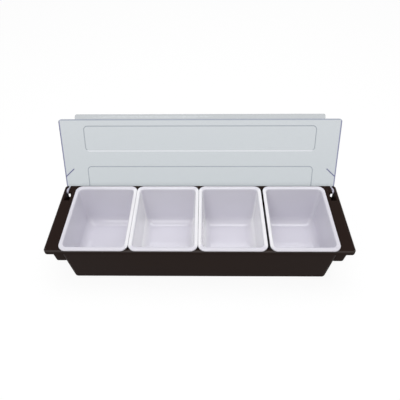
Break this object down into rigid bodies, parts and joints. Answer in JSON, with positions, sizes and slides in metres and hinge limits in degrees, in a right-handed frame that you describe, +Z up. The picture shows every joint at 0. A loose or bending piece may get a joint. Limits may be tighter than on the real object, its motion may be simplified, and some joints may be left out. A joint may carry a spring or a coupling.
{
  "type": "condiment holder",
  "caption": "Long moulded countertop condiment holder with lift-out compartment inserts and a clear lid hinged along the back.",
  "frame": {"origin": "under the middle of the tub's rim, on the surface the tub stands on", "axes": "+Z up, -Y towards the front where the lid's pull is when closed, +X along the length towards the right end seen from the front"},
  "size_m": [0.5, 0.2143, 0.2036],
  "materials": {
    "tub_plastic": "satin",
    "insert_plastic": "semi-gloss",
    "clear_plastic": "clear gloss"
  },
  "bodies": {
    "tub": {"tub": "tub_plastic", "insert_1": "insert_plastic", "insert_2": "insert_plastic", "insert_3": "insert_plastic", "insert_4": "insert_plastic"},
    "lid": {"lid": "clear_plastic"}
  },
  "joints": [
    {"name": "lid_hinge", "type": "hinge", "parent": "tub", "child": "lid", "pos_m": [0, 0.06847, 0.084], "axis": [1, 0, 0], "range_deg": [0, 114.4]}
  ]
}
